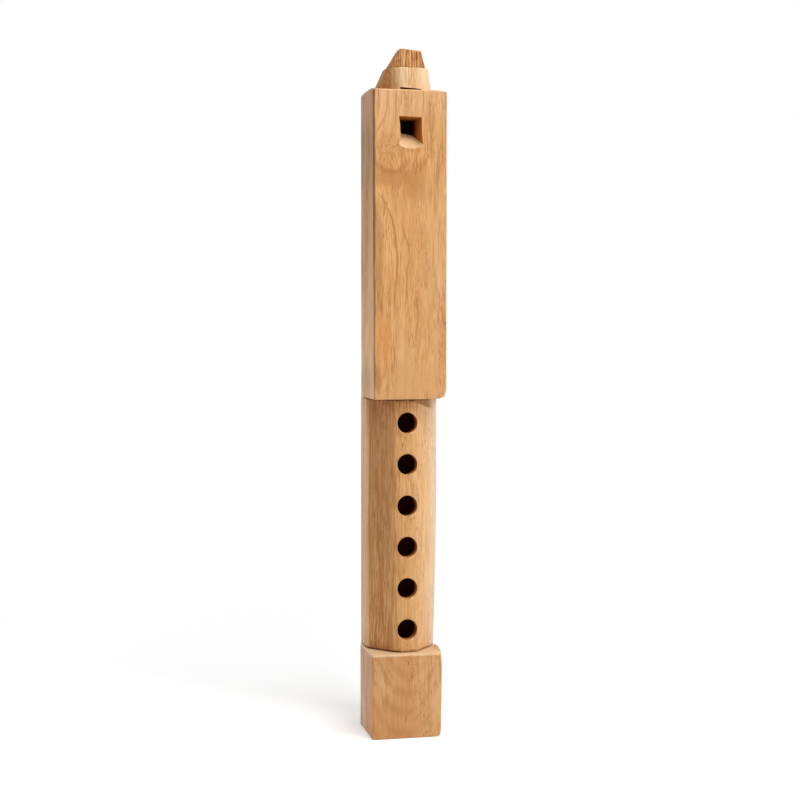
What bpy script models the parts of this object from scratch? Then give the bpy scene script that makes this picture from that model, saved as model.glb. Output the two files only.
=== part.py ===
"""Tarka: a square wooden duct flute, as five separate pieces that draw apart along the bore.

Metres, +Z up. The foot stands on z = 0, the bore runs up the Z axis, and the front, with the
sound window and the finger holes, faces -Y.
"""
import math

import bmesh
import bpy

MM = 0.001

# Fits
FIT_CLEARANCE = 0.3 * MM
SEAM_GAP = 0.3 * MM
CUT_MARGIN = 2.0 * MM
ROUND_SEGMENTS = 48

# Bore and the joints along it
BORE_DIAMETER = 13.0 * MM
TENON_WALL = 3.5 * MM
HEAD_TENON_LENGTH = 18.0 * MM
FOOT_TENON_LENGTH = 15.0 * MM

# Head block
HEAD_WIDTH = 35.8 * MM
HEAD_LENGTH = 150.0 * MM
EDGE_EASE = 0.8 * MM

# Foot block, flush with the head on its left and back
FOOT_HEIGHT = 42.5 * MM
FOOT_WIDTH = 34.0 * MM
FOOT_DEPTH = 34.0 * MM
FOOT_SHOULDER = 1.8 * MM

# Barrel: square behind, with a narrow front flat between two wide slanted facets
BARREL_LENGTH = 125.0 * MM
BARREL_FRONT_WALL = 5.7 * MM
BARREL_FRONT_FLAT = 10.6 * MM
BARREL_FLAT_SHIFT = -1.3 * MM
BARREL_FACET_DEPTH = 14.2 * MM
BARREL_FLUSH_INSET = 0.2 * MM
BARREL_RIGHT_TOP = 17.1 * MM
BARREL_RIGHT_BOTTOM = 15.5 * MM

# Finger holes
HOLE_COUNT = 6
HOLE_DIAMETER = 9.5 * MM
HOLE_PITCH = 20.4 * MM
LOWEST_HOLE = 11.4 * MM
HOLE_SHIFT = -0.4 * MM

# Sound window in the head's front
WINDOW_DROP = 12.7 * MM
WINDOW_HEIGHT = 7.4 * MM
WINDOW_INNER_WIDTH = 8.0 * MM
WINDOW_SIDE_SPLAY = 1.6 * MM
WINDOW_TOP_SPLAY = 0.6 * MM
RAMP_RUN = 7.6 * MM

# Mouthpiece collar: faceted, its front upright and its back drawn in
MOUTH_SHIFT = 1.0 * MM
COLLAR_HEIGHT = 11.0 * MM
COLLAR_FRONT = 13.1 * MM
COLLAR_BASE_WIDTH = 26.2 * MM
COLLAR_BASE_BACK = 13.1 * MM
COLLAR_TOP_WIDTH = 19.8 * MM
COLLAR_TOP_BACK = 9.0 * MM
COLLAR_FLAT_WIDTH = 10.7 * MM
SPIGOT_WALL = 2.7 * MM
SPIGOT_LENGTH = 5.5 * MM
KERF_HEIGHT = 0.9 * MM
KERF_DEPTH = 3.0 * MM

# Plug: a stem in the bore and a whittled tip above the collar
TIP_HEIGHT = 9.6 * MM
TIP_FRONT = 12.0 * MM
TIP_BASE_WIDTH = 15.6 * MM
TIP_BASE_BACK = 5.6 * MM
TIP_TOP_WIDTH = 10.1 * MM
TIP_TOP_DEPTH = 8.9 * MM
TIP_FLAT_WIDTH = 9.4 * MM
WINDWAY_WIDTH = 6.4 * MM
WINDWAY_HEIGHT = 1.4 * MM

# Sizes that follow from the ones above
BORE_RADIUS = BORE_DIAMETER / 2
TENON_RADIUS = BORE_RADIUS + TENON_WALL
SOCKET_RADIUS = TENON_RADIUS + FIT_CLEARANCE
HEAD_SOCKET_DEPTH = HEAD_TENON_LENGTH + FIT_CLEARANCE
FOOT_SOCKET_DEPTH = FOOT_TENON_LENGTH + FIT_CLEARANCE
SPIGOT_RADIUS = BORE_RADIUS + SPIGOT_WALL
PLUG_RADIUS = BORE_RADIUS - FIT_CLEARANCE
LEFT = -HEAD_WIDTH / 2
BACK = HEAD_WIDTH / 2
FRONT = -HEAD_WIDTH / 2
BARREL_FRONT = -(BORE_RADIUS + BARREL_FRONT_WALL)
WINDOW_TOP = HEAD_LENGTH - WINDOW_DROP
LABIUM = WINDOW_TOP - WINDOW_HEIGHT
STEM_LENGTH = COLLAR_HEIGHT + SEAM_GAP + WINDOW_DROP - FIT_CLEARANCE

# Where each piece seats on the one below
BARREL_BASE = FOOT_HEIGHT + SEAM_GAP
HEAD_ABOVE_BARREL = BARREL_LENGTH + SEAM_GAP
COLLAR_ABOVE_HEAD = HEAD_LENGTH + SEAM_GAP
TIP_ABOVE_HEAD = COLLAR_ABOVE_HEAD + COLLAR_HEIGHT + SEAM_GAP

# Colours, linear RGB
HONEY_WOOD = (0.66, 0.37, 0.17, 1.0)
BARREL_WOOD = (0.64, 0.37, 0.18, 1.0)
FOOT_WOOD = (0.56, 0.29, 0.13, 1.0)
PALE_WOOD = (0.78, 0.51, 0.28, 1.0)
DARK_WOOD = (0.46, 0.20, 0.08, 1.0)


def clear_scene():
    """Remove every object, so the script starts from an empty scene."""
    for scene_object in list(bpy.data.objects):
        bpy.data.objects.remove(scene_object, do_unlink=True)


def new_collection(name):
    """Add a collection to the scene."""
    collection = bpy.data.collections.new(name)
    bpy.context.scene.collection.children.link(collection)
    return collection


def wood(name, colour, roughness):
    """A plain wood material."""
    material = bpy.data.materials.new(name)
    material.use_nodes = True
    shader = material.node_tree.nodes["Principled BSDF"]
    shader.inputs["Base Color"].default_value = colour
    shader.inputs["Roughness"].default_value = roughness
    shader.inputs["Metallic"].default_value = 0.0
    return material


def joint_empty(name, height, parent=None):
    """An empty on the bore axis, where the pieces above it draw apart."""
    empty = bpy.data.objects.new(name, None)
    empty.location = (0.0, 0.0, height)
    empty.parent = parent
    PARTS.objects.link(empty)
    return empty


def add_object(name, shape, collection, parent):
    """Turn a bmesh into an object in its parent's frame."""
    mesh = bpy.data.meshes.new(name)
    bmesh.ops.recalc_face_normals(shape, faces=shape.faces)
    shape.to_mesh(mesh)
    shape.free()
    result = bpy.data.objects.new(name, mesh)
    result.parent = parent
    collection.objects.link(result)
    return result


def add_part(name, shape, parent, material):
    """A sub-part of the instrument."""
    part = add_object(name, shape, PARTS, parent)
    part.data.materials.append(material)
    return part


def box_shape(low, high):
    """A box between two corners."""
    shape = bmesh.new()
    bmesh.ops.create_cube(shape, size=1.0)
    for vertex in shape.verts:
        vertex.co = [low[i] if vertex.co[i] < 0 else high[i] for i in range(3)]
    return shape


def cylinder_shape(radius, bottom, top):
    """An upright cylinder on the bore axis."""
    shape = bmesh.new()
    bmesh.ops.create_cone(shape, cap_ends=True, segments=ROUND_SEGMENTS,
                          radius1=radius, radius2=radius, depth=top - bottom)
    bmesh.ops.translate(shape, verts=shape.verts, vec=(0.0, 0.0, (top + bottom) / 2))
    return shape


def loft_shape(lower, upper, bottom, top):
    """A closed loft between two outlines with as many points each."""
    shape = bmesh.new()
    rings = []
    for outline, height in ((lower, bottom), (upper, top)):
        rings.append([shape.verts.new((x, y, height)) for x, y in outline])
    count = len(lower)
    for i in range(count):
        j = (i + 1) % count
        shape.faces.new((rings[0][i], rings[0][j], rings[1][j], rings[1][i]))
    shape.faces.new(rings[0][::-1])
    shape.faces.new(rings[1])
    return shape


def faceted_outline(width, front, back, flat, front_run, back_run, back_inset):
    """Eight points: a front flat, two front facets, two sides and a drawn-in back."""
    left = MOUTH_SHIFT - width / 2
    right = MOUTH_SHIFT + width / 2
    flat_left = MOUTH_SHIFT - flat / 2
    flat_right = MOUTH_SHIFT + flat / 2
    return [(flat_left, -front), (flat_right, -front),
            (right, -front + front_run), (right, back - back_run),
            (right - back_inset, back), (left + back_inset, back),
            (left, back - back_run), (left, -front + front_run)]


def boolean(target, shape, operation, label):
    """Cut a shape out of a part, or join it on."""
    cutter = add_object(f"{target.name}_{label}", shape, CUTTERS, target.parent)
    cutter.hide_render = True
    cutter.display_type = "WIRE"
    modifier = target.modifiers.new(label, "BOOLEAN")
    modifier.operation = operation
    modifier.object = cutter
    modifier.solver = "EXACT"


def ease_edges(target, width, limit_degrees):
    """Round the edges that are sharper than a limit."""
    modifier = target.modifiers.new("eased_edges", "BEVEL")
    modifier.width = width
    modifier.segments = 2
    modifier.limit_method = "ANGLE"
    modifier.angle_limit = math.radians(limit_degrees)


def finish_shading(target):
    """Shade smooth across the round faces only."""
    target.data.shade_smooth()
    target.data.set_sharp_from_angle(angle=math.radians(30.0))


def make_foot(parent):
    """Square foot: a bevelled shoulder on top, a socket, and the bore through to the bottom."""
    low = (LEFT, BACK - FOOT_DEPTH, 0.0)
    high = (LEFT + FOOT_WIDTH, BACK, FOOT_HEIGHT)
    shape = box_shape(low, high)
    top_edges = [edge for edge in shape.edges
                 if all(vertex.co.z > FOOT_HEIGHT / 2 for vertex in edge.verts)]
    bmesh.ops.bevel(shape, geom=top_edges, offset=FOOT_SHOULDER, segments=1, affect="EDGES")
    foot = add_part("foot_block", shape, parent, wood("foot_wood", FOOT_WOOD, 0.55))
    ease_edges(foot, EDGE_EASE, 60.0)
    bore = cylinder_shape(BORE_RADIUS, -CUT_MARGIN, FOOT_HEIGHT)
    boolean(foot, bore, "DIFFERENCE", "bore")
    socket = cylinder_shape(SOCKET_RADIUS, FOOT_HEIGHT - FOOT_SOCKET_DEPTH, FOOT_HEIGHT + CUT_MARGIN)
    boolean(foot, socket, "DIFFERENCE", "socket")
    finish_shading(foot)


def barrel_outline(right):
    """Six points: a square back, and a front flat between two slanted facets."""
    left = LEFT + BARREL_FLUSH_INSET
    back = BACK - BARREL_FLUSH_INSET
    side = BARREL_FRONT + BARREL_FACET_DEPTH
    flat_left = BARREL_FLAT_SHIFT - BARREL_FRONT_FLAT / 2
    flat_right = BARREL_FLAT_SHIFT + BARREL_FRONT_FLAT / 2
    return [(flat_left, BARREL_FRONT), (flat_right, BARREL_FRONT),
            (right, side), (right, back), (left, back), (left, side)]


def make_barrel(parent):
    """Barrel with a tenon at each end and six finger holes into the bore."""
    shape = loft_shape(barrel_outline(BARREL_RIGHT_BOTTOM), barrel_outline(BARREL_RIGHT_TOP),
                       0.0, BARREL_LENGTH)
    barrel = add_part("finger_hole_barrel", shape, parent, wood("barrel_wood", BARREL_WOOD, 0.5))
    ease_edges(barrel, EDGE_EASE, 30.0)
    tenons = cylinder_shape(TENON_RADIUS, -SEAM_GAP - FOOT_TENON_LENGTH,
                            BARREL_LENGTH + SEAM_GAP + HEAD_TENON_LENGTH)
    boolean(barrel, tenons, "UNION", "tenons")
    bore = cylinder_shape(BORE_RADIUS, -FOOT_TENON_LENGTH - CUT_MARGIN,
                          BARREL_LENGTH + HEAD_TENON_LENGTH + CUT_MARGIN)
    boolean(barrel, bore, "DIFFERENCE", "bore")
    for number in range(HOLE_COUNT):
        hole = cylinder_shape(HOLE_DIAMETER / 2, 0.0, -BARREL_FRONT + CUT_MARGIN)
        for vertex in hole.verts:
            x, y, z = vertex.co
            vertex.co = (x + HOLE_SHIFT, -z, y + LOWEST_HOLE + number * HOLE_PITCH)
        boolean(barrel, hole, "DIFFERENCE", f"finger_hole_{number + 1}")
    finish_shading(barrel)


def window_shape():
    """Cutter for the window: sides and ceiling splay outwards, and the sill is the ramp."""
    wall = BORE_RADIUS + FRONT
    shape = bmesh.new()
    bmesh.ops.create_cube(shape, size=1.0)
    for vertex in shape.verts:
        across, through, upward = vertex.co
        y = FRONT - CUT_MARGIN if through < 0 else -BORE_RADIUS / 2
        share = (y + BORE_RADIUS) / wall
        half_width = WINDOW_INNER_WIDTH / 2 + WINDOW_SIDE_SPLAY * share
        ceiling = WINDOW_TOP - WINDOW_TOP_SPLAY * (1.0 - share)
        sill = LABIUM - RAMP_RUN * share
        vertex.co = (math.copysign(half_width, across), y, ceiling if upward > 0 else sill)
    return shape


def make_head(parent):
    """Square head: socket below, bore, seat for the collar above, and the sound window."""
    shape = box_shape((LEFT, FRONT, 0.0), (-LEFT, BACK, HEAD_LENGTH))
    head = add_part("head_block", shape, parent, wood("head_wood", HONEY_WOOD, 0.5))
    ease_edges(head, EDGE_EASE, 30.0)
    bore = cylinder_shape(BORE_RADIUS, -CUT_MARGIN, HEAD_LENGTH + CUT_MARGIN)
    boolean(head, bore, "DIFFERENCE", "bore")
    socket = cylinder_shape(SOCKET_RADIUS, -CUT_MARGIN, HEAD_SOCKET_DEPTH)
    boolean(head, socket, "DIFFERENCE", "socket")
    seat = cylinder_shape(SPIGOT_RADIUS + FIT_CLEARANCE,
                          HEAD_LENGTH - SPIGOT_LENGTH - FIT_CLEARANCE, HEAD_LENGTH + CUT_MARGIN)
    boolean(head, seat, "DIFFERENCE", "collar_seat")
    boolean(head, window_shape(), "DIFFERENCE", "window")
    finish_shading(head)


def make_collar(parent):
    """Faceted collar glued on the head, with a spigot below and a saw kerf under its front."""
    base = faceted_outline(COLLAR_BASE_WIDTH, COLLAR_FRONT, COLLAR_BASE_BACK, COLLAR_FLAT_WIDTH,
                           0.36 * COLLAR_BASE_WIDTH, 0.25 * COLLAR_BASE_WIDTH, 0.25 * COLLAR_BASE_WIDTH)
    top = faceted_outline(COLLAR_TOP_WIDTH, COLLAR_FRONT, COLLAR_TOP_BACK, COLLAR_FLAT_WIDTH,
                          0.2 * COLLAR_TOP_WIDTH, 0.45 * COLLAR_TOP_WIDTH, 0.2 * COLLAR_TOP_WIDTH)
    bottom = COLLAR_ABOVE_HEAD
    shape = loft_shape(base, top, bottom, bottom + COLLAR_HEIGHT)
    collar = add_part("mouthpiece_collar", shape, parent, wood("collar_wood", PALE_WOOD, 0.5))
    ease_edges(collar, EDGE_EASE / 2, 20.0)
    spigot = cylinder_shape(SPIGOT_RADIUS, bottom - SEAM_GAP - SPIGOT_LENGTH, bottom + COLLAR_HEIGHT / 2)
    boolean(collar, spigot, "UNION", "spigot")
    bore = cylinder_shape(BORE_RADIUS, bottom - SPIGOT_LENGTH - CUT_MARGIN,
                          bottom + COLLAR_HEIGHT + CUT_MARGIN)
    boolean(collar, bore, "DIFFERENCE", "bore")
    kerf = box_shape((MOUTH_SHIFT - COLLAR_FLAT_WIDTH / 2, -COLLAR_FRONT - CUT_MARGIN, bottom - SEAM_GAP),
                     (MOUTH_SHIFT + COLLAR_FLAT_WIDTH / 2, -COLLAR_FRONT + KERF_DEPTH, bottom + KERF_HEIGHT))
    boolean(collar, kerf, "DIFFERENCE", "kerf")
    finish_shading(collar)


def make_plug(parent):
    """Plug: a round stem down to the window, the whittled tip, and the windway through both."""
    base = faceted_outline(TIP_BASE_WIDTH, TIP_FRONT, TIP_BASE_BACK, TIP_FLAT_WIDTH,
                           0.14 * TIP_BASE_WIDTH, 0.36 * TIP_BASE_WIDTH, 0.2 * TIP_BASE_WIDTH)
    top = faceted_outline(TIP_TOP_WIDTH, TIP_FRONT, TIP_TOP_DEPTH - TIP_FRONT, TIP_FLAT_WIDTH,
                          0.05 * TIP_TOP_WIDTH, 0.2 * TIP_TOP_WIDTH, 0.2 * TIP_TOP_WIDTH)
    shape = loft_shape(base, top, 0.0, TIP_HEIGHT)
    plug = add_part("windway_plug", shape, parent, wood("plug_wood", DARK_WOOD, 0.5))
    ease_edges(plug, EDGE_EASE / 2, 20.0)
    stem = cylinder_shape(PLUG_RADIUS, -SEAM_GAP - STEM_LENGTH, TIP_HEIGHT / 4)
    boolean(plug, stem, "UNION", "stem")
    windway = box_shape((MOUTH_SHIFT - WINDWAY_WIDTH / 2, -BORE_RADIUS, -STEM_LENGTH - CUT_MARGIN),
                        (MOUTH_SHIFT + WINDWAY_WIDTH / 2, WINDWAY_HEIGHT - BORE_RADIUS,
                         TIP_HEIGHT + CUT_MARGIN))
    boolean(plug, windway, "DIFFERENCE", "windway")
    finish_shading(plug)


clear_scene()
PARTS = new_collection("tarka")
CUTTERS = new_collection("tarka_cutters")
foot_axis = joint_empty("foot_axis", 0.0)
barrel_axis = joint_empty("barrel_axis", BARREL_BASE, foot_axis)
head_axis = joint_empty("head_axis", HEAD_ABOVE_BARREL, barrel_axis)
plug_axis = joint_empty("plug_axis", TIP_ABOVE_HEAD, head_axis)
make_foot(foot_axis)
make_barrel(barrel_axis)
make_head(head_axis)
make_collar(head_axis)
make_plug(plug_axis)
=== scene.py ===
"""Tarka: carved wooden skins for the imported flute, and a plain studio around it.

The frame is that of the solids: +Z up the bore, the window and the finger holes on -Y, and +X on the
right as seen from the front. Lengths are in metres, or in millimetres where a comment says so.
"""
import math
from functools import partialmethod

import bmesh
import bpy
from bpy.props import FloatProperty, FloatVectorProperty, IntProperty, PointerProperty
from mathutils import Matrix, Vector, noise


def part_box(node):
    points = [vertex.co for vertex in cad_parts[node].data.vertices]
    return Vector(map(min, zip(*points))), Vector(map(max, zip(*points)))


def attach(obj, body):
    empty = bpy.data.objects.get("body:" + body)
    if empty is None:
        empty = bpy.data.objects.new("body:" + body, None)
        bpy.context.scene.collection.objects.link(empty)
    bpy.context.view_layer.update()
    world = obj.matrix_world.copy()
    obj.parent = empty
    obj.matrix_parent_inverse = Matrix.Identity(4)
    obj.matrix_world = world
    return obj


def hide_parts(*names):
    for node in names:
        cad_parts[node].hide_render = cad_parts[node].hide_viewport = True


bl_info = {
    "name": "Carved tarka",
    "version": (1, 0, 0),
    "blender": (4, 5, 0),
    "location": "3D View > Sidebar > Tarka",
    "description": "Builds the carved wooden pieces of a tarka and a plain studio around them",
    "category": "Add Mesh",
}

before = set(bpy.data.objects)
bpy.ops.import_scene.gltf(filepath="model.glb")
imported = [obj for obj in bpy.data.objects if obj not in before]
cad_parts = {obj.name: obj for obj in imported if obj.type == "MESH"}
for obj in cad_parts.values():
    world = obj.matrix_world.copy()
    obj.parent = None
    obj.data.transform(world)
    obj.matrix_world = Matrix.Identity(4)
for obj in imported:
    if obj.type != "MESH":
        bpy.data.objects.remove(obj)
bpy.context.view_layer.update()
MM = 0.001


def mm(*lengths):
    """Millimetres as metres."""
    return [value * MM for value in lengths]


def solid_box(node):
    """The low and high corners of a solid's box."""
    return [Vector(corner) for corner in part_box(node)]


HEAD_LOW, HEAD_HIGH = solid_box("head_block")
BARREL_LOW, BARREL_HIGH = solid_box("finger_hole_barrel")
FOOT_LOW, FOOT_HIGH = solid_box("foot_block")
COLLAR_LOW, COLLAR_HIGH = solid_box("mouthpiece_collar")
PLUG_LOW, PLUG_HIGH = solid_box("windway_plug")

# Gaps in the joints, and how far a cutter reaches past what it cuts
SEAM_GAP, CLOSE_GAP, CUT_MARGIN = mm(0.3, 0.06, 2.0)
# Steps round a turned form, of an eased edge and of the foot's shoulder, and the drill of a finger hole
ROUND_STEPS, EASE_STEPS, SHOULDER_STEPS = 72, 4, 7
DRILL_SIDES, DRILL_ROWS = 56, 40
# Spacing of a block's rows, and the angle from which an edge is sharp
BLOCK_ROW = 2.0 * MM
SHARP_ANGLE = math.radians(32.0)
# Ripples that a plane leaves: how fine they are across the wood and along it, and their share of its waviness
RIPPLES = [(45.0, 22.0, 1.0), (160.0, 60.0, 0.35)]

# How far the blocks' front left corners stand out, the head's at its foot and on the whole as shares
HEAD_SKEW, FOOT_SKEW = mm(1.15, 0.5)
LOW_SKEW, MEAN_SKEW = 0.62, 0.8
# How far other sides stand out: the foot's left and right, and the barrel's left
FOOT_LEFT, FOOT_RIGHT, BARREL_LEFT = mm(0.55, 0.35, 0.35)
# How far the head's top stands above its solid's, and the foot's top below
HEAD_RISE, FOOT_DROP = mm(0.45, 0.4)
# The head's lower right corner: height of its cut, where that starts and is whole in Y, and its depth
CUT_HEIGHT, CUT_START, CUT_RUN, CUT_DEPTH = mm(7.0, -2.0, 8.0, 0.85)
# The head's top: height of its hand-cut edges, how far the left one rises and the right one falls
TOP_HEIGHT, LEFT_RISE, RIGHT_FALL = mm(6.0, 1.15, 0.9)
# The window's outline on the head's front and at the bore: X, and Z from the top, in millimetres
WINDOW_MOUTH = [(-6.2, -12.4), (-5.6, -17.0), (-5.4, -22.0), (-6.0, -26.0), (-4.5, -27.3), (-1.3, -28.1),
                (2.1, -28.1), (4.5, -27.2), (5.9, -25.9), (5.4, -21.0), (5.2, -12.8)]
WINDOW_THROAT = [(-3.7, -13.6), (-3.7, -15.5), (-3.7, -17.5), (-3.7, -19.5), (-2.8, -19.7), (-1.1, -20.0),
                 (0.8, -20.4), (2.4, -20.8), (3.7, -21.0), (3.7, -17.0), (3.7, -13.6)]
# How far up a face of the window has to look to be its ramp
RAMP_SLOPE = 0.3
# The barrel's right side at the foot and at the head, its front flat, and how deep its facets are
FOOT_END, HEAD_END = mm(16.3, 17.9)
FLAT_LEFT, FLAT_RIGHT, FACET_DEPTH = mm(-6.6, 4.0, 14.2)
BARREL_RADII = mm(7.0, 7.0, 5.0, 1.2, 1.0, 3.5)
# The share of the barrel's height that draws in, and how fast
DRAWN_PART, DRAWN_POWER = 0.62, 1.3
# The foot's soft edges, how far its shoulder reaches as a share of its width, and less far on the right
SOFT_EDGE = 0.25 * MM
SHOULDER_REACH, RIGHT_REACH = 1.15, 0.6
# Heights of the foot's worn lower corner and of the crown at its right, and the crown's rise and radius
WORN_HEIGHT, CROWN_HEIGHT, CROWN_RISE, CROWN_RADIUS = mm(5.0, 8.0, 2.5, 2.4)
# The crown's start and run from the barrel's facet, and its start and run in Y
FACET_START, FACET_RUN, BACK_START, BACK_RUN = mm(0.36, 1.2, -17.0, 9.0)
# How far the foot's right side leans in, and its lower corner more, which also lifts
FOOT_LEAN, WORN_LEAN, WORN_LIFT = mm(0.65, 0.5, 0.5)
# The mouthpiece: its place in X, its front flats, and the seam above the collar's solid
MOUTH_SHIFT, COLLAR_FLAT, PLUG_FLAT, SEAM_RISE = mm(1.0, 10.7, 9.4, 0.5)
# Its outlines at the bottom and the top: left, right, back, front run, back run and back inset
COLLAR_LOWER, COLLAR_UPPER = mm(-14.4, 13.6, 13.1, 9.4, 6.6, 6.6), mm(-10.2, 10.6, 9.0, 4.0, 8.9, 4.0)
PLUG_LOWER, PLUG_UPPER = mm(-9.2, 8.8, 5.6, 2.2, 5.6, 3.1), mm(-4.3, 6.1, -3.1, 0.5, 2.0, 2.0)
COLLAR_RADII = mm(6.0, 3.0, 2.2, 1.2, 1.2, 1.2, 1.2, 0.8)
PLUG_RADII = mm(0.35) * 8
# The spigot's wall, the kerf under the collar's front, and how much lower the kerf is on the right
SPIGOT_WALL, KERF_DEPTH, KERF_HEIGHT, KERF_FALL = mm(2.7, 3.0, 1.6, 0.7)
# The plug's tip: how far it lies under its solid's top, and its chip's sides, run in Y and height
TIP_DROP, CHIP_LEFT, CHIP_RIGHT, CHIP_RUN, CHIP_LOW, CHIP_HIGH = mm(0.4, -1.6, 9.0, 2.8, -0.45, 3.0)
CHIP_RISE, CHIP_FALL = 0.35, 0.12

# Colours that a wood's own is multiplied by
# Heartwood and painted shade on the barrel's left-front facet
HEART_AND_SHADE_TINT = (0.70, 0.635, 0.60)
SHADED_TINT = (0.55, 0.43, 0.26)
# Painted shade on the plug's left facet
PLUG_LEFT_SHADE_TINT = (0.88, 0.82, 0.78)
PLUG_SIDE_TINT = (0.54, 0.47, 0.44)
# Painted shade at the top of a left side
SIDE_SHADE_TINT = (0.50, 0.445, 0.48)
STREAK_TINT = (0.88, 0.83, 0.80)
# Painted shade under the head and over the foot
UNDER_SHADE_TINT = (0.74, 0.64, 0.52)
SHADOW_TINT = (0.49, 0.38, 0.23)
# Roughness of pale and of dark grain, gloss and grain depth of wood, and the same of charred wood
WOOD_ROUGHNESS, WOOD_GLOSS, WOOD_DEPTH = (0.5, 0.66), 0.2, 0.12 * MM
CHAR_ROUGHNESS, CHAR_GLOSS, CHAR_DEPTH = (0.6, 0.85), 0.08, 0.08 * MM
# How much of their own colour pores have
PORE_SHARE = 0.65
# Stains on the head: X, Z from the top, spread in X and Z in millimetres, tone and share
HEAD_STAINS = [
    (-11.0, -27.0, 7.5, 10.0, "heart", 0.22), (-8.5, -42.5, 12.0, 5.5, "deep", 0.8),
    (1.5, -46.0, 7.0, 11.0, "deep", 0.7), (13.0, -44.0, 7.0, 42.0, "plain", 0.4),
    (3.0, -78.0, 9.0, 22.0, "plain", 0.5), (2.0, -140.0, 16.0, 11.0, "plain", 0.55),
    (-14.0, -122.0, 6.0, 15.0, "amber", 0.55), (-16.4, -80.0, 2.8, 26.0, "heart", 0.5),
    (-16.8, -140.0, 2.4, 9.0, "heart", 0.7), (16.6, -120.0, 1.4, 22.0, "heart", 0.35)]
# The head's knot: its ring, its speckled middle and the bend of the grain round it, as X, Z and spreads
KNOT_RING, KNOT_MIDDLE = (-9.9, -30.0, 8.9, 9.3), (-10.5, -28.0, 6.5, 8.0)
KNOT_BEND, BEND_WIDTH = (-12.0, -29.0, 7.0, 15.0), 4.0 * MM
# Growth lines on the head's front: (X, Z from the top) points in millimetres, width and share
GROWTH_LINES = [
    ([(-11.6, -4.0), (-13.5, -13.7), (-15.6, -17.6), (-17.6, -21.2)], 0.7, 0.65),
    ([(-17.7, -48.0), (-12.6, -55.7), (-8.2, -68.5), (-6.8, -83.5), (-8.2, -99.2), (-8.0, -112.0)], 0.75, 0.75),
    ([(-4.9, -64.0), (-3.1, -70.4), (-1.2, -78.3), (-2.2, -87.4), (-1.6, -104.0)], 0.55, 0.65),
    ([(-11.4, 0.0), (-11.8, -5.0), (-12.6, -11.0)], 0.4, 0.45),
    ([(-8.2, 0.0), (-8.0, -4.0), (-8.8, -9.5)], 0.4, 0.4),
    ([(-5.2, 0.0), (-5.0, -3.5), (-5.4, -8.0)], 0.4, 0.45)]
# Lamps: name, azimuth from the front and elevation in degrees, distance and size
LAMPS = [("key", 18.0, 50.0, 1.1, 0.6), ("side", 75.0, 15.0, 1.0, 0.5), ("rim", -115.0, 10.0, 0.9, 0.4)]
WHITE, FLOOR_GREY = (1.0, 1.0, 1.0), (0.9, 0.9, 0.9)
# The floor: its half width, its gap under the foot, where it turns white, and how much it is lifted
FLOOR_SIZE, FLOOR_GAP, WHITE_FROM, WHITE_TO, FLOOR_LIFT = 3.0, 0.1 * MM, 0.12, 0.42, 0.3
# Width of the camera's sensor, in millimetres
SENSOR_WIDTH = 36.0
# Shared shader groups and woods, once they are made, and kinds of socket
GROUPS, WOODS = {}, {}
NUMBER, WHOLE, VECTOR, COLOUR, MATERIAL, GEOMETRY = [
    f"NodeSocket{kind}" for kind in ("Float", "Int", "Vector", "Color", "Material", "Geometry")]


# Settings

def number(name, description, default, **kind):
    """A number that a user would change."""
    return FloatProperty(name=name, description=description, default=default, **kind)


def length(name, description, millimetres):
    """A length that a user would change."""
    return number(name, description, millimetres * MM, unit="LENGTH", precision=5)


def turn(name, description, degrees):
    """An angle that a user would change."""
    return number(name, description, math.radians(degrees), subtype="ANGLE")


def tone(name, description, *default):
    """A linear colour that a user would change."""
    return FloatVectorProperty(name=name, description=description, default=default, min=0.0, max=1.0, subtype="COLOR")


class TarkaSizes(bpy.types.PropertyGroup):
    """Sizes of the carved pieces."""

    bore: length("Bore", "Diameter of the round bore", 13.0)
    tenon: length("Tenon", "Diameter of the barrel's two tenons", 20.0)
    fit: length("Fit", "Clearance of a tenon or stem in its seat", 0.3)
    eased_edge: length("Eased edge", "Radius of the sanded edges of the blocks", 0.45)
    corner_lift: length("Corner lift", "How far the head's lower right corner is cut back", 1.8)
    shoulder: length("Shoulder", "Height of the rounded shoulder of the foot", 1.25)
    waviness: length("Waviness", "Depth of the hand-planed unevenness", 0.14)
    hole: length("Finger hole", "Diameter of a finger hole", 10.2)
    hole_rim: length("Hole rim", "Width of the eased rim of a finger hole", 0.55)
    hole_pitch: length("Hole pitch", "Distance between neighbouring finger holes", 20.56)
    lowest_hole: length("Lowest hole", "Height of the lowest hole above the barrel's shoulder", 10.55)
    hole_shift: length("Hole shift", "Sideways place of the row of holes", -0.4)
    hole_count: IntProperty(name="Finger holes", description="Number of finger holes", default=6)
    windway_width: length("Windway width", "Width of the air slot in the plug", 6.4)
    windway_height: length("Windway height", "Height of the air slot in the plug", 1.4)


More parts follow.
